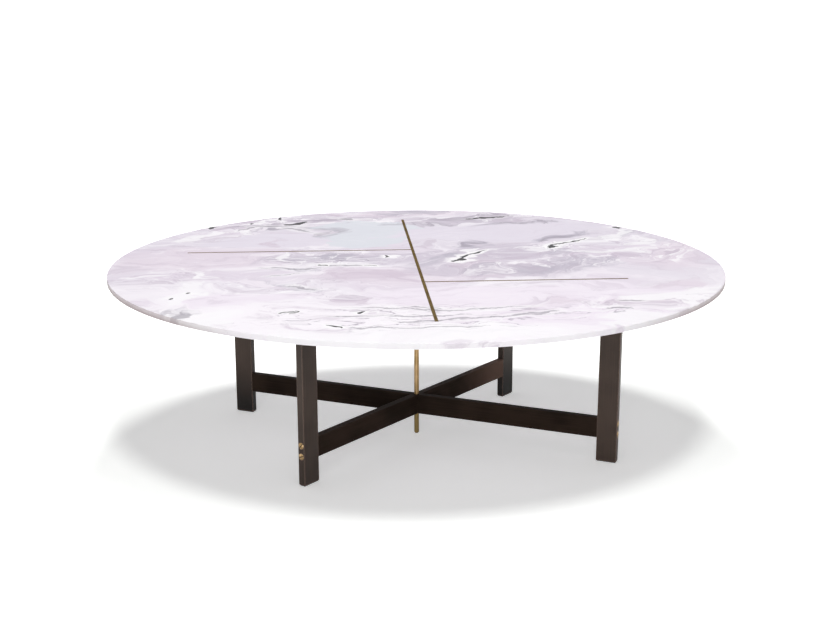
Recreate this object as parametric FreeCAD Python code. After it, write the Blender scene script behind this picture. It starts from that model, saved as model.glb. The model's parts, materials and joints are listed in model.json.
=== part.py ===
# Round cocktail table: a marble top with brass inlay on a crossed frame of flat bar.
# Millimetres. The origin is on the floor under the middle of the top, +Z is up,
# and +Y runs along the long inlay strip, away from the front of the table.
import FreeCAD, Part
import math
import os

# Marble top
table_height = 364.0
top_diameter = 1200.0
top_thickness = 20.0
edge_height = 10.0  # upright band of the edge, above the bevel of the underside
under_bevel_run = 35.0  # how far the bevel reaches in under the top
edge_round = 1.5

# Brass strips let into the top
strip_width = 6.0
strip_depth = 4.0
strip_fit = 0.1
long_strip_length = 940.0
left_strip_offset = 118.0  # behind the middle
left_strip_reach = 463.0  # from the middle line to the outer end
right_strip_offset = 181.0  # in front of the middle
right_strip_reach = 385.0

# Flat bar of the legs and stretchers
bar_width = 40.0
bar_thickness = 15.0
bar_arris = 1.0

# Crossed frame
short_reach = 332.0  # middle of the table to the middle of a leg
long_reach = 400.0
cross_turn = 49.0  # heading of the short stretcher, in degrees from +X
cross_angle = 104.5  # from the short stretcher round to the long one
stretcher_underside = 48.0
lap_fit = 0.1

# Raised countersunk slotted screws through each leg into the end of its stretcher
screw_diameter = 6.0
screw_spacing = 21.0
screw_grip = 26.0  # length inside the stretcher
screw_head_diameter = 12.0
screw_crown_height = 1.2  # of the domed head, above the face of the leg
slot_width = 2.0
slot_depth = 1.8
slot_turns = (20.0, 52.0)  # slot of the lower and upper screw, in degrees from level
hole_clearance = 0.2

# Brass rod through the crossing
rod_diameter = 10.0
rod_clearance = 0.15
rod_floor_gap = 3.0
rod_end_round = 4.0
spigot_diameter = 8.0
spigot_length = 11.0

# Socket of the rod, let into the underside of the top
socket_diameter = 14.0
socket_depth = 12.0
socket_flange_diameter = 26.0
socket_flange_thickness = 3.0
socket_fit = 0.3

# Glide under each leg
glide_thickness = 2.0
glide_inset = 1.5
glide_stem_diameter = 5.0
glide_stem_length = 14.0

# Plate on the upper end of each leg
plate_thickness = 6.0
plate_side_lip = 10.0  # past the wide sides of the leg
plate_end_margin = 15.0  # past the top screws
plate_corner = 4.0
plate_screw_diameter = 5.0
plate_screw_head_diameter = 10.0
plate_screw_inset = 10.0  # from the narrow sides of the leg
plate_screw_grip = 18.0

# Screws and inserts that hold the plates to the top
top_screw_diameter = 6.0
top_screw_head_diameter = 12.0
top_screw_head_height = 3.6
top_screw_margin = 20.0  # from the narrow sides of the leg
insert_diameter = 9.0
insert_length = 12.0
insert_fit = 0.2

# Levels and places worked out from the sizes above
origin = FreeCAD.Vector(0, 0, 0)
along_x = FreeCAD.Vector(1, 0, 0)
up = FreeCAD.Vector(0, 0, 1)
half_bar = bar_width / 2
underside = table_height - top_thickness
leg_top = underside - plate_thickness
stretcher_middle = stretcher_underside + half_bar
screw_levels = (stretcher_middle - screw_spacing / 2, stretcher_middle + screw_spacing / 2)
plate_screw_offset = half_bar - plate_screw_inset
top_screw_offset = half_bar + top_screw_margin
long_heading = cross_turn + cross_angle
corners = (
    ("back_right", cross_turn, short_reach),
    ("front_left", cross_turn + 180, short_reach),
    ("back_left", long_heading, long_reach),
    ("front_right", long_heading + 180, long_reach),
)


def block(size_x, size_y, size_z, middle_x, low_z):
    corner = FreeCAD.Vector(middle_x - size_x / 2, -size_y / 2, low_z)
    return Part.makeBox(size_x, size_y, size_z, corner)


def upright(diameter, length, x, low_z):
    return Part.makeCylinder(diameter / 2, length, FreeCAD.Vector(x, 0, low_z), up)


def level(diameter, length, start_x, z):
    return Part.makeCylinder(diameter / 2, length, FreeCAD.Vector(start_x, 0, z), along_x)


def turned(shape, heading):
    copy = shape.copy()
    copy.rotate(origin, up, heading)
    return copy


def rounded_along(solid, direction, radius):
    edges = [e for e in solid.Edges if abs(e.tangentAt(e.FirstParameter).dot(direction)) > 0.999]
    return solid.makeFillet(radius, edges)


def rounded_rim(solid, radius, test):
    edges = [e for e in solid.Edges if isinstance(e.Curve, Part.Circle) and test(e.Curve.Center)]
    return solid.makeFillet(radius, edges)


def joined(first, second):
    return first.fuse(second).removeSplitter()


def countersunk(head_diameter, diameter, length, face, axis, spare):
    wide = head_diameter / 2 + spare
    narrow = diameter / 2 + spare
    depth = wide - narrow
    cone = Part.makeCone(narrow, wide, depth, face - axis * depth, axis)
    shank = Part.makeCylinder(narrow, length, face - axis * length, axis)
    return joined(cone, shank)


def plate_screw_places(reach):
    return [reach + side * plate_screw_offset for side in (-1, 1)]


def top_screw_places(reach):
    return [reach + side * top_screw_offset for side in (-1, 1)]


# The top, in its own frame
def strip_box(low_x, high_x, low_y, high_y, spare):
    size_x = high_x - low_x + 2 * spare
    size_y = high_y - low_y + 2 * spare
    corner = FreeCAD.Vector(low_x - spare, low_y - spare, table_height - strip_depth)
    return Part.makeBox(size_x, size_y, strip_depth, corner)


def inlay_strips(spare):
    half_width = strip_width / 2
    half_length = long_strip_length / 2
    left_low = left_strip_offset - half_width
    right_low = -right_strip_offset - half_width
    return {
        "long_inlay_strip": strip_box(-half_width, half_width, -half_length, half_length, spare),
        "left_inlay_strip": strip_box(
            -left_strip_reach, -half_width, left_low, left_low + strip_width, spare),
        "right_inlay_strip": strip_box(
            half_width, right_strip_reach, right_low, right_low + strip_width, spare),
    }


def top_blank():
    radius = top_diameter / 2
    edge_low = table_height - edge_height
    bend = edge_round * (1 - math.sqrt(0.5))
    middle_low = FreeCAD.Vector(0, 0, underside)
    bevel_low = FreeCAD.Vector(radius - under_bevel_run, 0, underside)
    bevel_high = FreeCAD.Vector(radius, 0, edge_low)
    round_low = FreeCAD.Vector(radius, 0, table_height - edge_round)
    round_middle = FreeCAD.Vector(radius - bend, 0, table_height - bend)
    round_high = FreeCAD.Vector(radius - edge_round, 0, table_height)
    middle_high = FreeCAD.Vector(0, 0, table_height)
    outline = [
        Part.LineSegment(middle_low, bevel_low),
        Part.LineSegment(bevel_low, bevel_high),
        Part.LineSegment(bevel_high, round_low),
        Part.Arc(round_low, round_middle, round_high),
        Part.LineSegment(round_high, middle_high),
        Part.LineSegment(middle_high, middle_low),
    ]
    wire = Part.Wire([curve.toShape() for curve in outline])
    return Part.Face(wire).revolve(origin, up, 360)


def marble_top():
    cuts = list(inlay_strips(strip_fit).values())
    cuts.append(upright(socket_diameter + 2 * socket_fit, socket_depth, 0, underside))
    for place, heading, reach in corners:
        for x in top_screw_places(reach):
            hole = upright(insert_diameter + 2 * insert_fit, insert_length, x, underside)
            cuts.append(turned(hole, heading))
    return top_blank().cut(cuts)


def rod_socket():
    flange_low = underside - socket_flange_thickness
    flange = upright(socket_flange_diameter, socket_flange_thickness, 0, flange_low)
    body = upright(socket_diameter, socket_depth, 0, underside)
    bore = upright(spigot_diameter + 2 * rod_clearance, spigot_length, 0, flange_low)
    return joined(flange, body).cut(bore)


def centre_rod():
    shoulder = underside - socket_flange_thickness
    rod = upright(rod_diameter, shoulder - rod_floor_gap, 0, rod_floor_gap)
    rod = rounded_rim(rod, rod_end_round, lambda centre: centre.z < stretcher_underside)
    return joined(rod, upright(spigot_diameter, spigot_length, 0, shoulder))


# Stretchers, built along +X and then turned to their headings
def stretcher(reach, notch_turn, notch_low):
    half_length = reach - half_bar
    solid = block(2 * half_length, bar_thickness, bar_width, 0, stretcher_underside)
    solid = rounded_along(solid, along_x, bar_arris)
    notch = block(2 * half_length, bar_thickness + 2 * lap_fit, half_bar, 0, notch_low)
    cuts = [turned(notch, notch_turn)]
    cuts.append(upright(rod_diameter + 2 * rod_clearance, bar_width, 0, stretcher_underside))
    for z in screw_levels:
        for start_x in (-half_length, half_length - screw_grip):
            cuts.append(level(screw_diameter + 2 * hole_clearance, screw_grip, start_x, z))
    return solid.cut(cuts)


# Pieces of one corner, built on +X at the leg's reach and then turned to its heading
def leg(reach):
    length = leg_top - glide_thickness
    solid = block(bar_width, bar_thickness, length, reach, glide_thickness)
    solid = rounded_along(solid, up, bar_arris)
    stem_hole = glide_stem_diameter + 2 * hole_clearance
    plate_hole = plate_screw_diameter + 2 * hole_clearance
    cuts = [upright(stem_hole, glide_stem_length, reach, glide_thickness)]
    for z in screw_levels:
        cuts.append(stretcher_screw_blank(reach, z, bar_width, hole_clearance))
    for x in plate_screw_places(reach):
        cuts.append(upright(plate_hole, plate_screw_grip, x, leg_top - plate_screw_grip))
    return solid.cut(cuts)


def glide(reach):
    size_x = bar_width - 2 * glide_inset
    size_y = bar_thickness - 2 * glide_inset
    foot = block(size_x, size_y, glide_thickness, reach, 0)
    stem = upright(glide_stem_diameter, glide_stem_length, reach, glide_thickness)
    return joined(foot, stem)


def stretcher_screw_blank(reach, z, length, spare):
    face = FreeCAD.Vector(reach + half_bar, 0, z)
    return countersunk(screw_head_diameter, screw_diameter, length, face, along_x, spare)


def screw_crown(reach, z):
    half_head = screw_head_diameter / 2
    radius = (half_head ** 2 + screw_crown_height ** 2) / (2 * screw_crown_height)
    sunk = radius - screw_crown_height
    rim_latitude = math.degrees(math.asin(sunk / radius))
    middle = FreeCAD.Vector(reach + half_bar - sunk, 0, z)
    return Part.makeSphere(radius, middle, along_x, rim_latitude, 90, 360)


def stretcher_screw(reach, z, slot_turn):
    blank = stretcher_screw_blank(reach, z, bar_width + screw_grip, 0)
    screw = joined(blank, screw_crown(reach, z))
    slot_x = reach + half_bar + screw_crown_height
    slot = block(2 * slot_depth, screw_head_diameter, slot_width, slot_x, z - slot_width / 2)
    slot.rotate(FreeCAD.Vector(slot_x, 0, z), along_x, slot_turn)
    return screw.cut(slot)


def stretcher_screws(reach):
    pairs = zip(screw_levels, slot_turns)
    return Part.makeCompound([stretcher_screw(reach, z, slot_turn) for z, slot_turn in pairs])


def plate_screw_blank(x, length, spare):
    face = FreeCAD.Vector(x, 0, underside)
    return countersunk(plate_screw_head_diameter, plate_screw_diameter, length, face, up, spare)


def top_plate(reach):
    length = 2 * (top_screw_offset + plate_end_margin)
    width = bar_thickness + 2 * plate_side_lip
    solid = block(length, width, plate_thickness, reach, leg_top)
    solid = rounded_along(solid, up, plate_corner)
    cuts = []
    for x in plate_screw_places(reach):
        cuts.append(plate_screw_blank(x, plate_thickness, hole_clearance))
    for x in top_screw_places(reach):
        cuts.append(upright(top_screw_diameter + 2 * hole_clearance, plate_thickness, x, leg_top))
    return solid.cut(cuts)


def plate_screws(reach):
    length = plate_thickness + plate_screw_grip
    places = plate_screw_places(reach)
    return Part.makeCompound([plate_screw_blank(x, length, 0) for x in places])


def top_screw(x):
    head = upright(top_screw_head_diameter, top_screw_head_height, x, leg_top - top_screw_head_height)
    shank = upright(top_screw_diameter, plate_thickness + insert_length, x, leg_top)
    return joined(head, shank)


def top_screws(reach):
    return Part.makeCompound([top_screw(x) for x in top_screw_places(reach)])


def top_insert(x):
    sleeve = upright(insert_diameter, insert_length, x, underside)
    return sleeve.cut(upright(top_screw_diameter + 2 * hole_clearance, insert_length, x, underside))


def top_inserts(reach):
    return Part.makeCompound([top_insert(x) for x in top_screw_places(reach)])


corner_pieces = {
    "leg": leg,
    "glide": glide,
    "stretcher_screws": stretcher_screws,
    "top_plate": top_plate,
    "plate_screws": plate_screws,
    "top_screws": top_screws,
    "top_inserts": top_inserts,
}


def table():
    pieces = {"marble_top": marble_top()}
    pieces.update(inlay_strips(0))
    short = stretcher(short_reach, cross_angle, stretcher_underside)
    long = stretcher(long_reach, -cross_angle, stretcher_middle)
    pieces["short_stretcher"] = turned(short, cross_turn)
    pieces["long_stretcher"] = turned(long, long_heading)
    pieces["centre_rod"] = centre_rod()
    pieces["rod_socket"] = rod_socket()
    for place, heading, reach in corners:
        for name, make in corner_pieces.items():
            pieces[name + "_" + place] = turned(make(reach), heading)
    return pieces


os.makedirs("parts", exist_ok=True)
for node, shape in table().items():
    shape.exportStep("parts/" + node + ".step")
    print(node, len(shape.Solids), shape.isValid(), round(shape.Volume, 1))
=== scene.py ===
import json
import math

import bpy
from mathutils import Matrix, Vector

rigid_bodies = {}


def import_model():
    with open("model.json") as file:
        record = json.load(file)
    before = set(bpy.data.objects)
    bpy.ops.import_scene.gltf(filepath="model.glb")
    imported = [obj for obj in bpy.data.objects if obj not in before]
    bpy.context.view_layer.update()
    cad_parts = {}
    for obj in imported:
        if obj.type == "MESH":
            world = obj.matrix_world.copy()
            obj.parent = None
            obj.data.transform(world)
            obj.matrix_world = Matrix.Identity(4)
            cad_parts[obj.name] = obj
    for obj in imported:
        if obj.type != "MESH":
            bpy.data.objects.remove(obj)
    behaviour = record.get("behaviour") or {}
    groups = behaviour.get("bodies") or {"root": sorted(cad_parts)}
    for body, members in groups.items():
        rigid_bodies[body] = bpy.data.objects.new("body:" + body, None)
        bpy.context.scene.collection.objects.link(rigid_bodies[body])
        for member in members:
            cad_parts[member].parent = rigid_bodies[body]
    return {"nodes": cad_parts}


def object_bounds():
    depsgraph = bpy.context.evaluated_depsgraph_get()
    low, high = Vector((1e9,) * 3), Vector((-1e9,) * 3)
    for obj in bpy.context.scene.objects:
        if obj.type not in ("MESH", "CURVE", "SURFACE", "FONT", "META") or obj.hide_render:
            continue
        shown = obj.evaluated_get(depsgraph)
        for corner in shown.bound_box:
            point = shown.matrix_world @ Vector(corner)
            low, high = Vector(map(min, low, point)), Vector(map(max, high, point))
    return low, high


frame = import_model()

for spare in [item for item in bpy.data.objects if item.name in ("Cube", "Light", "Camera")]:
    bpy.data.objects.remove(spare)                      # the empty file's own objects

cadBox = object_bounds()
scene = bpy.context.scene
print("frame loaded,", len(frame["nodes"]), "nodes")


# Small helpers

def linear(hexColour):                                  # sRGB hex to the linear colour that Blender takes
    channels = [int(hexColour[i:i + 2], 16) / 255 for i in (1, 3, 5)]
    return (*[c / 12.92 if c <= 0.04045 else ((c + 0.055) / 1.055) ** 2.4 for c in channels], 1.0)


def addNode(tree, kind, sockets=None, **settings):      # a socket takes a value, a node or a node's output
    node = tree.nodes.new("ShaderNode" + kind)
    for name, value in settings.items():
        setattr(node, name, value)
    for name, value in (sockets or {}).items():
        if isinstance(value, bpy.types.Node):
            value = value.outputs[0]
        if isinstance(value, bpy.types.NodeSocket):
            tree.links.new(value, node.inputs[name])
        else:
            node.inputs[name].default_value = value
    return node


def newMaterial(name):                                  # an empty tree, and places on the object in mm
    material = bpy.data.materials.new(name)
    material.use_nodes = True
    tree = material.node_tree
    tree.nodes.clear()
    place = addNode(tree, "TexCoord").outputs["Object"]
    inMm = addNode(tree, "VectorMath", {0: place, 1: (1000, 1000, 1000)}, operation="MULTIPLY")
    return material, tree, inMm


def share(tree, value, low, high, cover=1.0, within=1.0):   # none at low, cover at high, only within a mask
    part = addNode(tree, "MapRange", {"Value": value, "From Min": low, "From Max": high, "To Max": cover},
                   interpolation_type="SMOOTHSTEP")
    return addNode(tree, "Math", {0: part, 1: within}, operation="MULTIPLY")


def laid(tree, below, value, tone, *where):             # a tone over what is there, by its share
    inside = share(tree, value, *where)
    return addNode(tree, "MixRGB", {"Fac": inside, "Color1": below, "Color2": linear(tone)})


def dress(starts, material):                            # CAD nodes keep their mesh and get a better finish
    for name, node in frame["nodes"].items():
        if name.startswith(starts):
            for slot in node.material_slots:
                slot.material = material


# Honed marble: white calcite with lilac and grey clouds, thin drifting veins and a few nearly black
# strokes. Honing leaves it flat and even, with a soft sheen and no mirror image.

slabSides = (280, 530)                                  # mm from the middle, where painted shade turns its edge rosy
marble = {
    "front": "#FBF6FC",                                 # ground colour towards the front, lighter there as painted light
    "back": ("#E3DCE7", -450, 20),                      # and darker towards the back as painted shade, from and to these mm along Y
    "bends": ((190, 90), (60, 40), (22, 14)),           # mm, size and reach of the clouds' bends
    "strokeBends": ((75, 26), (19, 9)),                 # mm, and of the strokes' bends
    "bendWay": (3, 2, 0),                               # stretches them along X and Y, not Z
    "rise": (-250, 60, 0.5),                            # mm along Y, from a level flow to one of this slope

    # Noises drawn out along the flow, sizes in mm. A tone starts where its noise has the first value,
    # is full where it has the second, and covers as strongly as the third.
    "cloud": {
        "long": 200, "wide": 110, "detail": 7.0, "seed": 3.7,
        "deep": ("#DED1E0", 0.50, 0.62, 0.5), "pale": ("#FCF7FD", 0.47, 0.38, 0.6),
    },
    "streak": {
        "long": 120, "wide": 38, "detail": 6.0, "seed": 9.4,
        "deep": ("#C9BCCB", 0.51, 0.66, 0.55), "pale": ("#FAF4FB", 0.48, 0.36, 0.55),
    },
    "fleck": {
        "long": 46, "wide": 27, "detail": 5.0, "seed": 7.9,
        "deep": ("#C0B2C3", 0.51, 0.62, 0.5), "pale": ("#FEFBFF", 0.47, 0.38, 0.8),
    },
    "thread": {                                         # hair veins, broken where the flecks are low
        "long": 420, "wide": 95, "detail": 3.0, "seed": 11.3, "bands": 12.0, "broken": (0.43, 0.53),
        "deep": ("#978B9D", 0.14, 0.02, 0.7), "pale": ("#FEFCFF", 0.36, 0.48, 0.75),
    },
    "wisp": {"long": 70, "wide": 36, "detail": 6.0, "seed": 5.1},   # tears the edges of the clouds
    "grit": 8,                                          # mm, roughens the edges of the strokes
    "noiseRoughness": 0.64,

    "markDepth": 1e6,                                   # mm, marks go right through the slab
    "markEdge": (0.0, 0.08),                            # a mark fades in from its edge, 0, to its middle, 1
    "fieldEdge": (0.02, 0.45),                          # and so does a field of flecks or hair veins
    "dense": (0.86, 1.10),                              # streak plus fleck, over which a cloud thickens
    "rim": {"tone": ("#A297A8", 0.46, 0.55), "inset": 0.04, "reach": 0.06},   # broken line around a cloud
    "halo": {"tone": ("#FFFDFF", 0.12, 0.50), "longer": 1.5, "wider": 3.6, "torn": 0.7},   # around a stroke

    "upright": (0.6, 0.3),                              # how level a face is, from the top to the edge
    "rimSideShade": ("#D8CBCE", *slabSides, 0.85),              # painted shade: the edge is rosy grey at the left and right
    "rimFootShade": ("#A08C90", 361, 355, 1.0),             # painted shade, darker there at its foot, mm above the floor
    "rimFootShadeSides": (*slabSides, 0.6),
    "rimEndShade": ("#6A6469", 572, 601, 0.9),             # and painted shade, darkest at the ends, mm from the middle

    "roughness": (0.46, 0.54),
    "roughnessTurn": (0.3, 0.7),                        # over these values of the streaks
    "specular": 0.15,
    "grain": 2.5,                                       # mm, honing grain, drawn coarser so that it shows
    "grainDepth": 0.02,                                 # mm
}

# A mark is x, y of its middle, its turn in degrees, its length and its width, in mm on the top.
# Flecks gather in the first places, hair veins in the second.
fleckFields = [
    (-180, 45, -4, 420, 190), (250, -10, 20, 460, 320), (-200, 470, 6, 620, 180),
    (330, 130, 30, 520, 200), (-240, -220, -35, 300, 150), (-410, 330, 50, 300, 170),
    (180, 470, 10, 420, 150), (380, -380, 16, 360, 170), (500, 60, 40, 320, 180),
    (-470, -120, 60, 260, 200),
]
threadFields = [(-20, -440, 1, 640, 210), (270, -420, 14, 260, 110), (-180, 20, -3, 300, 80)]

# Each tone has its colour, how strongly it covers, where its edge starts and ends and how torn that is.
# A panel calms the streaks on it, a cloud is thin between streaks and may have a rim, a stroke has a halo.
calmPanels = {
    "blush": {
        "colour": "#E5D9E5", "cover": 0.85, "edge": (0.0, 0.60), "torn": 0.5, "calm": 0.25,
        "marks": [
            (-450, 40, 0, 500, 290), (520, 40, 70, 380, 240), (-60, -100, 0, 420, 210),
            (0, 550, 3, 420, 130), (240, -355, 60, 170, 110), (380, -335, 15, 170, 80),
            (325, -425, 20, 170, 70), (150, -440, 14, 170, 80), (450, -230, 60, 190, 110),
        ],
    },
    "haze": {
        "colour": "#CEC5D3", "cover": 0.85, "edge": (0.0, 0.45), "torn": 0.55, "calm": 0.3,
        "marks": [
            (150, 70, 32, 330, 230), (240, -85, 6, 380, 200), (40, -30, 80, 230, 150),
            (150, 455, 10, 420, 130), (-160, 45, -5, 320, 130), (-200, 475, 10, 340, 120),
            (0, 60, 90, 160, 150),
        ],
    },
    "mist": {
        "colour": "#DDDFE7", "cover": 0.95, "edge": (0.05, 0.16), "torn": 0.14, "calm": 0.9,
        "marks": [(-95, 315, 88, 290, 220), (-90, 245, 92, 210, 190), (-60, 395, 0, 220, 110)],
    },
    "lilac": {
        "colour": "#E4DDE9", "cover": 0.95, "edge": (0.05, 0.22), "torn": 0.25, "calm": 0.8,
        "marks": [(150, 305, 12, 420, 260), (330, 350, 34, 320, 150), (-290, 235, 20, 330, 200)],
    },
    "pale": {
        "colour": "#F2E9F4", "cover": 0.85, "edge": (0.06, 0.40), "torn": 0.35, "calm": 0.5,
        "marks": [
            (50, -285, 0, 470, 190), (-330, -290, 5, 280, 160), (320, -280, 8, 360, 200),
            (200, -450, 4, 560, 170),
        ],
    },
}
clouds = {
    "mauve": {
        "colour": "#D1C3D2", "cover": 0.9, "thin": 0.55, "edge": (0.05, 0.50), "torn": 0.65, "rim": 0.3,
        "marks": [
            (-90, -105, -4, 230, 140), (125, -85, 75, 190, 130), (210, -60, 10, 130, 80),
            (-150, -290, 70, 80, 46), (-160, 540, 80, 80, 90), (-330, 185, 70, 130, 60),
        ],
    },
    "slate": {
        "colour": "#BAB4C2", "cover": 0.9, "thin": 0.3, "edge": (0.05, 0.55), "torn": 0.8, "rim": 0.3,
        "marks": [
            (20, 560, 20, 210, 80), (300, 240, 32, 240, 56), (140, 162, 60, 110, 66),
            (320, -55, 10, 270, 190), (-160, 55, -6, 240, 100), (-250, -47, -4, 160, 40),
            (400, 228, 34, 300, 50), (40, 20, 60, 180, 80), (-255, -165, -60, 130, 34),
            (-210, -215, -30, 80, 34), (180, -90, 6, 260, 110), (-418, -386, 80, 110, 60),
            (300, 60, 20, 180, 90),
        ],
    },
    "smoke": {
        "colour": "#A8A0AE", "cover": 0.95, "thin": 0.12, "edge": (0.05, 0.62), "torn": 0.85, "rim": 0.4,
        "marks": [
            (180, 492, 18, 290, 96), (60, 412, 2, 210, 44), (275, 406, 3, 260, 54),
            (-200, 350, -55, 160, 66), (-275, 390, -35, 180, 40), (-335, 375, 60, 130, 34),
            (-120, 470, 8, 290, 56), (-330, 405, 15, 220, 40), (300, 232, 34, 150, 30),
            (-414, -391, 84, 80, 34), (145, 165, 60, 60, 36),
        ],
    },
    "milk": {
        "colour": "#FDFBFE", "cover": 0.85, "thin": 0.75, "edge": (0.08, 0.50), "torn": 0.8, "rim": 0.0,
        "marks": [
            (258, 96, 28, 170, 36), (345, 180, 36, 340, 64), (118, 102, 50, 100, 44),
            (-256, 62, -60, 100, 30), (-130, -6, -2, 210, 32), (-405, -92, 80, 140, 56),
            (-450, -250, 80, 260, 90), (-374, 326, 60, 120, 50), (470, -292, 40, 240, 120),
            (-60, -560, 0, 860, 170), (-305, 462, 40, 120, 40), (430, 262, 34, 190, 40),
            (-470, 300, 70, 160, 70), (400, 75, 24, 190, 40), (480, 180, 70, 160, 60),
            (-390, -440, 30, 220, 110), (450, -380, 46, 260, 80), (325, -485, 32, 240, 70),
        ],
    },
}
strokes = {
    "ash": {
        "colour": "#7F7886", "cover": 0.6, "edge": (0.08, 0.50), "torn": 0.7, "halo": 0.4,
        "marks": [
            (-235, 352, -43, 130, 20), (-150, -25, -10, 170, 16), (-218, -214, -32, 80, 14),
            (-250, -47, -5, 150, 12), (-255, -92, 20, 130, 7), (15, -394, -4, 170, 10),
            (-60, -376, -6, 220, 10), (-30, -428, 1, 230, 10), (-130, -420, -3, 110, 10),
            (20, -456, 4, 220, 10), (0, -505, 1, 200, 11), (-110, -502, 0, 130, 10),
            (165, -427, 20, 110, 12), (110, -446, 10, 210, 10), (100, -386, 10, 160, 10),
            (362, -346, 4, 60, 14), (325, -404, -20, 90, 11), (-300, 398, 6, 130, 15),
            (-355, 380, 44, 110, 15), (-133, 487, 60, 36, 30), (-426, -400, 78, 90, 36),
        ],
    },
    "soot": {
        "colour": "#1B1820", "cover": 0.98, "edge": (0.10, 0.30), "torn": 0.6, "halo": 0.9,
        "marks": [
            (80, 8, 45, 56, 26), (116, 58, 50, 120, 15), (286, 128, 45, 44, 15),
            (335, 168, 36, 140, 12), (-58, 58, 84, 32, 15), (-188, -18, -20, 44, 11),
            (-100, -32, -6, 36, 9), (-432, -233, 80, 18, 11), (-450, -283, 60, 14, 9),
            (-250, -398, 50, 34, 9), (-234, -395, -70, 40, 9), (-120, -396, 86, 18, 8),
            (-178, -498, -50, 28, 9),
        ],
    },
    "jet": {
        "colour": "#1B1820", "cover": 0.98, "edge": (0.10, 0.30), "torn": 0.6, "halo": 0.3,
        "marks": [
            (205, 486, 22, 160, 20), (-238, 437, 40, 80, 20), (-282, 505, 88, 46, 16),
            (-430, 405, 86, 54, 20), (-345, 443, 80, 22, 12), (487, 335, 110, 42, 17),
        ],
    },
}


def honedMarble():
    material, tree, inMm = newMaterial("honedMarble")

    def bent(place, bends):                             # pushes a place about by soft noise
        for size, reach in bends:
            noise = addNode(tree, "TexNoise", {"Vector": place, "Scale": 1 / size, "Detail": 2.0})
            shift = addNode(tree, "VectorMath", {0: noise.outputs["Color"], 1: (0.5, 0.5, 0.5)},
                            operation="SUBTRACT")
            push = [reach * way for way in marble["bendWay"]]
            place = addNode(tree, "VectorMath", {0: shift, 1: push, 2: place}, operation="MULTIPLY_ADD")
        return place

    def drawnNoise(place, finish):                      # noise drawn out along the stone's flow
        drawn = addNode(tree, "Mapping", {
            "Vector": place, "Location": (finish["seed"], finish["seed"], 0),
            "Scale": (1 / finish["long"], 1 / finish["wide"], 1 / finish["wide"])})
        noise = addNode(tree, "TexNoise", {
            "Vector": drawn, "Scale": 1.0, "Detail": finish["detail"],
            "Roughness": marble["noiseRoughness"]})
        return noise.outputs["Fac"]

    def reachOf(marks, place, longer=1, wider=1):       # 1 in the middle of a mark, 0 outside all of them
        reach = 0.0
        for x, y, turn, long, wide in marks:
            own = addNode(tree, "Mapping", {
                "Vector": place, "Location": (x, y, 0), "Rotation": (0, 0, math.radians(turn)),
                "Scale": (long * longer / 2, wide * wider / 2, marble["markDepth"])}, vector_type="TEXTURE")
            cone = addNode(tree, "TexGradient", {"Vector": own}, gradient_type="SPHERICAL").outputs["Fac"]
            reach = addNode(tree, "Math", {0: reach, 1: cone}, operation="MAXIMUM")
        return reach

    def tornBy(reach, tear, torn):                      # the edge of a mark moved in and out by a noise
        push = addNode(tree, "Math", {0: tear, 1: torn, 2: -torn / 2}, operation="MULTIPLY_ADD")
        return addNode(tree, "Math", {0: reach, 1: push}, operation="ADD")

    # the flow rises to the right on the right half, and runs level at the front
    cloudPlace = bent(inMm, marble["bends"])
    strokePlace = bent(inMm, marble["strokeBends"])
    along = addNode(tree, "SeparateXYZ", {"Vector": cloudPlace}).outputs
    right = addNode(tree, "Math", {0: along["X"], 1: 0.0}, operation="MAXIMUM")
    slope = share(tree, along["Y"], *marble["rise"])
    climb = addNode(tree, "Math", {0: right, 1: slope}, operation="MULTIPLY")
    level = addNode(tree, "Math", {0: along["Y"], 1: climb}, operation="SUBTRACT")
    flow = addNode(tree, "CombineXYZ", {"X": along["X"], "Y": level, "Z": along["Z"]})

    cloud = drawnNoise(flow, marble["cloud"])
    wisp = drawnNoise(flow, marble["wisp"])
    streak = drawnNoise(flow, marble["streak"])
    fleck = drawnNoise(flow, marble["fleck"])
    thread = drawnNoise(strokePlace, marble["thread"])
    grit = addNode(tree, "TexNoise", {"Vector": strokePlace, "Scale": 1 / marble["grit"], "Detail": 3.0})

    # painted light: the ground is lighter towards the front and darker towards the back
    colour = laid(tree, linear(marble["front"]), along["Y"], *marble["back"])
    for tone in ("deep", "pale"):
        colour = laid(tree, colour, cloud, *marble["cloud"][tone])

    busy = 1.0                                          # how freely streaks show: less on the calm panels
    for panel in calmPanels.values():
        reach = reachOf(panel["marks"], cloudPlace)
        edge = tornBy(reach, wisp, panel["torn"])
        within = share(tree, reach, *marble["markEdge"])
        inside = share(tree, edge, *panel["edge"], panel["cover"], within)
        colour = addNode(tree, "MixRGB", {
            "Fac": inside, "Color1": colour, "Color2": linear(panel["colour"])})
        stillness = addNode(tree, "Math", {0: inside, 1: -panel["calm"], 2: 1.0}, operation="MULTIPLY_ADD")
        busy = addNode(tree, "Math", {0: busy, 1: stillness}, operation="MULTIPLY")
    for tone in ("deep", "pale"):
        colour = laid(tree, colour, streak, *marble["streak"][tone], busy)

    mixed = addNode(tree, "Math", {0: streak, 1: fleck}, operation="ADD")
    rim = marble["rim"]
    for tone in clouds.values():
        reach = reachOf(tone["marks"], cloudPlace)
        edge = tornBy(reach, wisp, tone["torn"])
        dense = addNode(tree, "MapRange", {
            "Value": mixed, "From Min": marble["dense"][0], "From Max": marble["dense"][1],
            "To Min": tone["thin"]})
        inside = share(tree, reach, *marble["markEdge"], 1.0, dense)
        colour = laid(tree, colour, edge, tone["colour"], *tone["edge"], tone["cover"], inside)
        if tone["rim"]:
            onRim = tone["edge"][0] + rim["inset"]
            beside = addNode(tree, "Math", {0: edge, 1: onRim}, operation="SUBTRACT")
            offRim = addNode(tree, "Math", {0: beside}, operation="ABSOLUTE")
            line = share(tree, offRim, rim["reach"], 0.0, tone["rim"], inside)
            colour = laid(tree, colour, fleck, *rim["tone"], 1.0, line)

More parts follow.
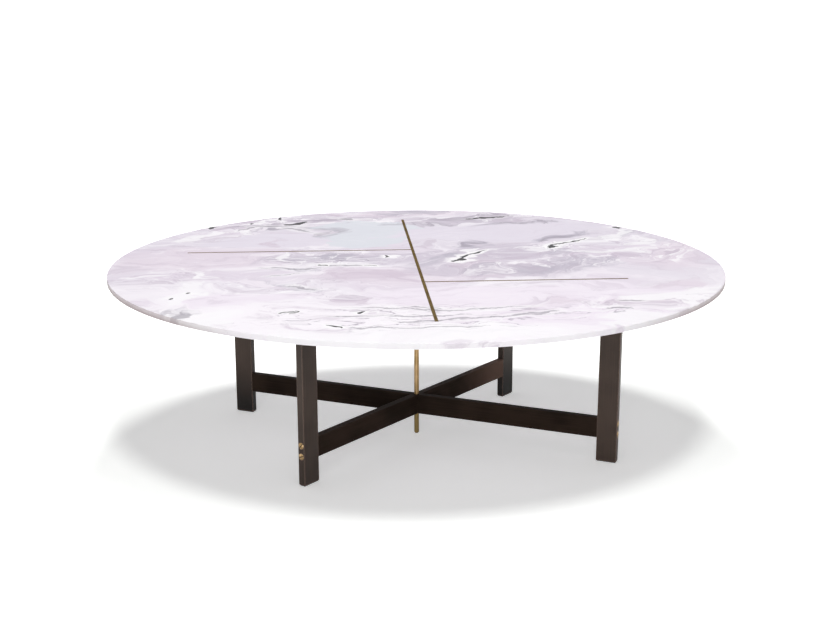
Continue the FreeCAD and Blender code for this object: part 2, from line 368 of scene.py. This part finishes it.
    flecked = share(tree, reachOf(fleckFields, cloudPlace), *marble["fieldEdge"])
    threaded = share(tree, reachOf(threadFields, strokePlace), *marble["fieldEdge"])
    veined = share(tree, fleck, *marble["thread"]["broken"], 1.0, threaded)
    steps = addNode(tree, "Math", {0: thread, 1: marble["thread"]["bands"]}, operation="MULTIPLY")
    ripple = addNode(tree, "Math", {0: steps, 1: 0.5}, operation="PINGPONG")   # 0 on a vein, 0.5 between
    for tone in ("deep", "pale"):
        colour = laid(tree, colour, fleck, *marble["fleck"][tone], flecked)
    for tone in ("deep", "pale"):
        colour = laid(tree, colour, ripple, *marble["thread"][tone], veined)

    halo = marble["halo"]
    for tone in strokes.values():
        wide = reachOf(tone["marks"], strokePlace, halo["longer"], halo["wider"])
        colour = laid(tree, colour, tornBy(wide, wisp, halo["torn"]), *halo["tone"], tone["halo"])
        reach = reachOf(tone["marks"], strokePlace)
        edge = tornBy(reach, grit.outputs["Fac"], tone["torn"])
        inside = share(tree, reach, *marble["markEdge"])
        colour = laid(tree, colour, edge, tone["colour"], *tone["edge"], tone["cover"], inside)

    normal = addNode(tree, "NewGeometry").outputs["True Normal"]
    unsigned = addNode(tree, "VectorMath", {0: normal}, operation="ABSOLUTE")
    flatness = addNode(tree, "SeparateXYZ", {"Vector": unsigned}).outputs["Z"]
    upright = share(tree, flatness, *marble["upright"])   # 1 on the slab's edge, 0 on its top and underside
    # painted shade on the slab's edge: rosy grey at the sides, darker at its foot, darkest at the left and
    # right ends
    onSlab = addNode(tree, "SeparateXYZ", {"Vector": inMm}).outputs
    outward = addNode(tree, "Math", {0: onSlab["X"]}, operation="ABSOLUTE")
    sides = share(tree, outward, *marble["rimFootShadeSides"], upright)
    colour = laid(tree, colour, outward, *marble["rimSideShade"], upright)
    colour = laid(tree, colour, onSlab["Z"], *marble["rimFootShade"], sides)
    colour = laid(tree, colour, outward, *marble["rimEndShade"], upright)

    rough = addNode(tree, "MapRange", {
        "Value": streak, "From Min": marble["roughnessTurn"][0], "From Max": marble["roughnessTurn"][1],
        "To Min": marble["roughness"][0], "To Max": marble["roughness"][1]})
    grain = addNode(tree, "TexNoise", {"Vector": inMm, "Scale": 1 / marble["grain"], "Detail": 2.0})
    bump = addNode(tree, "Bump", {"Height": grain.outputs["Fac"], "Distance": marble["grainDepth"] / 1000})
    shader = addNode(tree, "BsdfPrincipled", {
        "Base Color": colour, "Roughness": rough, "Normal": bump, "Specular IOR Level": marble["specular"]})
    addNode(tree, "OutputMaterial", {"Surface": shader})
    return material


dress("marble_top", honedMarble())
print("marble dressed")


# Bronze lacquer, rubbed on steel bar: a deep brown satin with faint brush lines along the bar, uneven in
# tone over a hand's width, and warmer on the arrises, where it is rubbed thin and has a painted highlight.
# The stretchers are darker, as painted shade, and duller.

lacquer = {
    "mottle": 120,                                      # mm, size of the uneven tone
    "brushShare": 0.35,                                 # part of the brush lines in it
    "toneTurn": (0.50, 0.86),                           # from a bar's first tone to its second
    "brushDepth": 0.02,                                 # mm
    "roughness": (0.36, 0.56),
    "wearAndHighlight": ("#8A756A", 0.99, 0.90),                    # rubbed wear and painted highlight, where a rounded arris turns away from its face
    "wearAndHighlightWidth": 3.0,                                   # mm, how far the rubbed and painted highlit arris reaches
    "paintedSheenEnd": ("#7A6358", 190, 440),                   # painted sheen at the back right corner, mm as x + y
    "foot": ("#0A0807", 140, 0),                        # painted shade on the feet, mm above the floor
    "footBack": (-120, 150),                            # and only at the back, mm along Y
}
brushLong = 90                                          # mm, a brush line, drawn coarser so that it shows
brushWide = 1.8

# Turn is in degrees from +X. Wear and highlight, painted sheen and painted foot shade are how strongly a
# bar shows these tones.
bars = {
    "bronzeLacquerLegs": {
        "nodes": ("leg_", "top_plate_"), "tones": ("#3B302A", "#4A3D36"), "specular": 0.2,
        "turn": 0.0, "brush": (brushWide, brushWide, brushLong), "wearAndHighlight": 0.8, "pale": 0.0, "foot": 0.95,
    },
    # the stretchers' darker tones are painted shade, shaded copies of the legs' lacquer
    "bronzeLacquerShortStretcher": {
        "nodes": "short_stretcher", "tones": ("#28201B", "#382D27"), "specular": 0.01,
        "turn": 49.0, "brush": (brushLong, brushWide, brushWide), "wearAndHighlight": 0.05, "pale": 0.85, "foot": 0.0,
    },
    "bronzeLacquerLongStretcher": {
        "nodes": "long_stretcher", "tones": ("#231C18", "#322822"), "specular": 0.01,
        "turn": 153.5, "brush": (brushLong, brushWide, brushWide), "wearAndHighlight": 0.05, "pale": 0.0, "foot": 0.0,
    },
}


def bronzeLacquer(name, bar):
    material, tree, inMm = newMaterial(name)
    along = addNode(tree, "Mapping", {
        "Vector": inMm, "Rotation": (0, 0, math.radians(bar["turn"])), "Scale": bar["brush"]},
        vector_type="TEXTURE")
    lines = addNode(tree, "TexNoise", {"Vector": along, "Scale": 1.0, "Detail": 3.0}).outputs["Fac"]
    mottle = addNode(tree, "TexNoise", {"Vector": inMm, "Scale": 1 / lacquer["mottle"], "Detail": 2.0})
    uneven = addNode(tree, "Math", {0: lines, 1: lacquer["brushShare"], 2: mottle.outputs["Fac"]},
                     operation="MULTIPLY_ADD")
    colour = laid(tree, linear(bar["tones"][0]), uneven, bar["tones"][1], *lacquer["toneTurn"])

    # painted sheen, paler towards the back right corner
    corner = addNode(tree, "VectorMath", {0: inMm, 1: (1, 1, 0)}, operation="DOT_PRODUCT").outputs["Value"]
    colour = laid(tree, colour, corner, *lacquer["paintedSheenEnd"], bar["pale"])
    # painted shade, darker towards the feet of the back legs
    onBar = addNode(tree, "SeparateXYZ", {"Vector": inMm}).outputs
    back = share(tree, onBar["Y"], *lacquer["footBack"])
    colour = laid(tree, colour, onBar["Z"], *lacquer["foot"], bar["foot"], back)

    # rubbed wear and a painted highlight along the rounded arrises
    rounded = addNode(tree, "Bevel", {"Radius": lacquer["wearAndHighlightWidth"] / 1000}, samples=4)
    flat = addNode(tree, "NewGeometry").outputs["True Normal"]
    facing = addNode(tree, "VectorMath", {0: rounded, 1: flat}, operation="DOT_PRODUCT").outputs["Value"]
    colour = laid(tree, colour, facing, *lacquer["wearAndHighlight"], bar["wearAndHighlight"])

    rough = addNode(tree, "MapRange", {
        "Value": lines, "To Min": lacquer["roughness"][0], "To Max": lacquer["roughness"][1]})
    bump = addNode(tree, "Bump", {"Height": lines, "Distance": lacquer["brushDepth"] / 1000})
    shader = addNode(tree, "BsdfPrincipled", {
        "Base Color": colour, "Roughness": rough, "Normal": bump, "Specular IOR Level": bar["specular"]})
    addNode(tree, "OutputMaterial", {"Surface": shader})
    return material


for name, bar in bars.items():
    dress(bar["nodes"], bronzeLacquer(name, bar))
print("bars dressed")


# Brass and plated steel: a warm or grey metal with fine lines along the way it was drawn, brushed or
# turned, and soft darker patches where it has tarnished.

patina = {
    "lineShare": 0.5,                                   # part of the fine lines in the tarnish
    "toneTurn": (0.58, 0.92),                           # from a metal's first tone to its second
    "roughnessTurn": (0.5, 1.0),
    "lineDepth": 0.015,                                 # mm
    "dirtAndShade": ("#33261A", 0.95, 0.6),                    # dark dirt and painted shade, by how open a place is
    "dirtAndShadeReach": 2.5,                                  # mm, so it lies in slots and inner corners
}

# Edge is the tint of the metal seen at a low angle. Lines are drawn coarser than real ones, in mm.
metals = {
    "drawnBrass": {                                     # rod, socket and inserts, drawn along their length
        "nodes": ("centre_rod", "rod_socket", "top_inserts"), "tones": ("#BB9D76", "#8F754D"),
        "roughness": (0.28, 0.44), "edge": "#FFFFFF", "lines": (0.9, 0.9, 70), "patch": 45,
        "rodFootShade": ("#76663F", 50, 44, 0.85),          # painted shade below the stretchers, mm above the floor
    },
    "tarnishedBrass": {                                 # long strip, brushed along Y and dark with age
        "nodes": "long_inlay_strip", "tones": ("#857862", "#675B47"),
        "roughness": (0.34, 0.50), "edge": "#A09272", "lines": (0.8, 60, 0.8), "patch": 50,
    },
    "brushedBrass": {                                   # short strips, brushed along X
        "nodes": ("left_inlay_strip", "right_inlay_strip"), "tones": ("#917C47", "#6E5B2D"),
        "roughness": (0.34, 0.50), "edge": "#817242", "lines": (60, 0.8, 0.8), "patch": 50,
    },
    "turnedBrass": {                                    # screw heads, turned and dulled by handling
        "nodes": "stretcher_screws", "tones": ("#C2A67E", "#987C55"),
        "roughness": (0.24, 0.40), "edge": "#FFFFFF", "lines": (0.7, 0.7, 0.7), "patch": 5,
    },
    "zincPlatedSteel": {                                # hidden screws, grey with a fine spangle
        "nodes": ("plate_screws", "top_screws"), "tones": ("#B9BDC0", "#92989C"),
        "roughness": (0.34, 0.50), "edge": "#FFFFFF", "lines": (0.8, 0.8, 0.8), "patch": 4,
    },
}


def linedMetal(name, metal):
    material, tree, inMm = newMaterial(name)
    along = addNode(tree, "Mapping", {"Vector": inMm, "Scale": metal["lines"]}, vector_type="TEXTURE")
    lines = addNode(tree, "TexNoise", {"Vector": along, "Scale": 1.0, "Detail": 2.0}).outputs["Fac"]
    patch = addNode(tree, "TexNoise", {"Vector": inMm, "Scale": 1 / metal["patch"], "Detail": 3.0})
    tarnish = addNode(tree, "Math", {0: lines, 1: patina["lineShare"], 2: patch.outputs["Fac"]},
                      operation="MULTIPLY_ADD")
    colour = laid(tree, linear(metal["tones"][0]), tarnish, metal["tones"][1], *patina["toneTurn"])
    # painted shade on the rod below the stretchers
    if "rodFootShade" in metal:
        height = addNode(tree, "SeparateXYZ", {"Vector": inMm}).outputs["Z"]
        colour = laid(tree, colour, height, *metal["rodFootShade"])
    # dark dirt and painted shade in slots and inner corners, by how open a place is
    around = addNode(tree, "AmbientOcclusion", {"Distance": patina["dirtAndShadeReach"] / 1000}, samples=6,
                     only_local=True)
    colour = laid(tree, colour, around.outputs["AO"], *patina["dirtAndShade"])

    rough = addNode(tree, "MapRange", {
        "Value": tarnish, "From Min": patina["roughnessTurn"][0], "From Max": patina["roughnessTurn"][1],
        "To Min": metal["roughness"][0], "To Max": metal["roughness"][1]})
    bump = addNode(tree, "Bump", {"Height": lines, "Distance": patina["lineDepth"] / 1000})
    shader = addNode(tree, "BsdfPrincipled", {
        "Base Color": colour, "Metallic": 1.0, "Roughness": rough, "Normal": bump,
        "Specular Tint": linear(metal["edge"])})
    addNode(tree, "OutputMaterial", {"Surface": shader})
    return material


for name, metal in metals.items():
    dress(metal["nodes"], linedMetal(name, metal))
print("metals dressed")


# Moulded nylon glides: nearly black and dull, with a fine even moulding grain

glideNylon = {
    "tones": ("#262627", "#343436"),
    "roughness": (0.44, 0.58),
    "grain": 1.2,                                       # mm, drawn coarser so that it shows
    "grainDepth": 0.03,                                 # mm
}


def mouldedNylon():
    material, tree, inMm = newMaterial("mouldedNylon")
    noise = addNode(tree, "TexNoise", {"Vector": inMm, "Scale": 1 / glideNylon["grain"], "Detail": 3.0})
    grain = noise.outputs["Fac"]
    first, second = [linear(tone) for tone in glideNylon["tones"]]
    colour = addNode(tree, "MixRGB", {"Fac": grain, "Color1": first, "Color2": second})
    rough = addNode(tree, "MapRange", {
        "Value": grain, "To Min": glideNylon["roughness"][0], "To Max": glideNylon["roughness"][1]})
    bump = addNode(tree, "Bump", {"Height": grain, "Distance": glideNylon["grainDepth"] / 1000})
    shader = addNode(tree, "BsdfPrincipled", {"Base Color": colour, "Roughness": rough, "Normal": bump})
    addNode(tree, "OutputMaterial", {"Surface": shader})
    return material


dress("glide_", mouldedNylon())
print("glides dressed")


# Floor, light and camera

studio = {
    "floorSize": 260.0,                                 # metres, past the top of the picture
    "floorMatte": (0.94, 0.96, 0.93, 1),                # a trace of green, against the stone's lilac light
    "floorGlow": 0.345,                                 # white added to the floor when it is seen directly
    "farFloor": (620, 950),                             # mm from the middle, where a painted glow turns it plain white over the lamps' outer half shadows
    "farStretch": 1.5,                                  # and how much sooner it does to the front and back
    "dome": 0.20,                                       # the world's level on the object
    "lampHeight": 4.0,                                  # metres
    "lampSize": 0.75,
    "lamps": {"frontLamp": {"level": 0.44, "y": -2.4}, "backLamp": {"level": 0.41, "y": 1.6}},
    "fill": {"level": 0.30, "tilt": 80, "turn": -12, "spread": 30, "place": (0, -3, 1)},
}
photoCamera = {
    "place": (-0.1736, -2.4625, 0.8922),                # metres
    "aim": (0.0070, -0.0005, 0.2538),
    "lens": 54.3,                                       # mm
    "sensor": 36.0,
    "farthest": 500,                                    # metres
}
white = (1, 1, 1, 1)


def seenDirect(tree):                                   # 1 for camera, glossy and transmission rays, else 0
    path = addNode(tree, "LightPath").outputs
    either = addNode(tree, "Math", {0: path["Is Camera Ray"], 1: path["Is Glossy Ray"]},
                     operation="MAXIMUM")
    return addNode(tree, "Math", {0: either, 1: path["Is Transmission Ray"]}, operation="MAXIMUM")


bpy.ops.object.select_all(action="DESELECT")
bpy.ops.mesh.primitive_plane_add(size=studio["floorSize"], location=(0, 0, 0))
floor = bpy.context.object
floor.name = "studioFloor"
material, tree, inMm = newMaterial("whiteFloor")
matte = addNode(tree, "BsdfDiffuse", {"Color": studio["floorMatte"]})
# painted light: outside an ellipse round the table the glow rises to plain white over the lamps' half
# shadows
stretched = addNode(tree, "VectorMath", {0: inMm, 1: (1, studio["farStretch"], 1)}, operation="MULTIPLY")
away = addNode(tree, "VectorMath", {0: stretched}, operation="LENGTH").outputs["Value"]
plain = addNode(tree, "MapRange", {
    "Value": away, "From Min": studio["farFloor"][0], "From Max": studio["farFloor"][1],
    "To Min": studio["floorGlow"], "To Max": 1.0}, interpolation_type="SMOOTHSTEP")
strength = addNode(tree, "Math", {0: seenDirect(tree), 1: plain}, operation="MULTIPLY")
glow = addNode(tree, "Emission", {"Color": white, "Strength": strength})
both = addNode(tree, "AddShader", {0: matte, 1: glow})
addNode(tree, "OutputMaterial", {"Surface": both})
floor.data.materials.append(material)

world = bpy.data.worlds.new("softDome")
scene.world = world
world.use_nodes = True
tree = world.node_tree
tree.nodes.clear()
strength = addNode(tree, "MapRange", {"Value": seenDirect(tree), "To Min": studio["dome"], "To Max": 1.0})
background = addNode(tree, "Background", {"Color": white, "Strength": strength})
addNode(tree, "OutputWorld", {"Surface": background})

topMiddle = Vector((0, 0, cadBox[1][2]))
for name, lamp in studio["lamps"].items():
    place = Vector((0, lamp["y"], studio["lampHeight"]))
    toTop = topMiddle - place
    bpy.ops.object.light_add(type="AREA", location=place)
    light = bpy.context.object
    light.name = name
    light.rotation_mode = "QUATERNION"
    light.rotation_quaternion = toTop.to_track_quat("-Z", "Y")
    light.data.shape = "DISK"
    light.data.size = studio["lampSize"]
    light.data.energy = lamp["level"] * math.pi ** 2 * toTop.length_squared   # level 1 shows white as white

fill = studio["fill"]
bpy.ops.object.light_add(type="SUN", location=fill["place"],
                         rotation=(math.radians(fill["tilt"]), 0, math.radians(fill["turn"])))
sun = bpy.context.object
sun.name = "fillLight"
sun.data.energy = fill["level"] * math.pi
sun.data.angle = math.radians(fill["spread"])

bpy.ops.object.camera_add(location=photoCamera["place"])
camera = bpy.context.object
camera.name = "photoCamera"
camera.rotation_mode = "QUATERNION"
toAim = Vector(photoCamera["aim"]) - Vector(photoCamera["place"])
camera.rotation_quaternion = toAim.to_track_quat("-Z", "Y")
camera.data.lens = photoCamera["lens"]
camera.data.sensor_width = photoCamera["sensor"]
camera.data.clip_end = photoCamera["farthest"]
scene.camera = camera
scene.view_settings.view_transform = "Standard"
print("studio set")
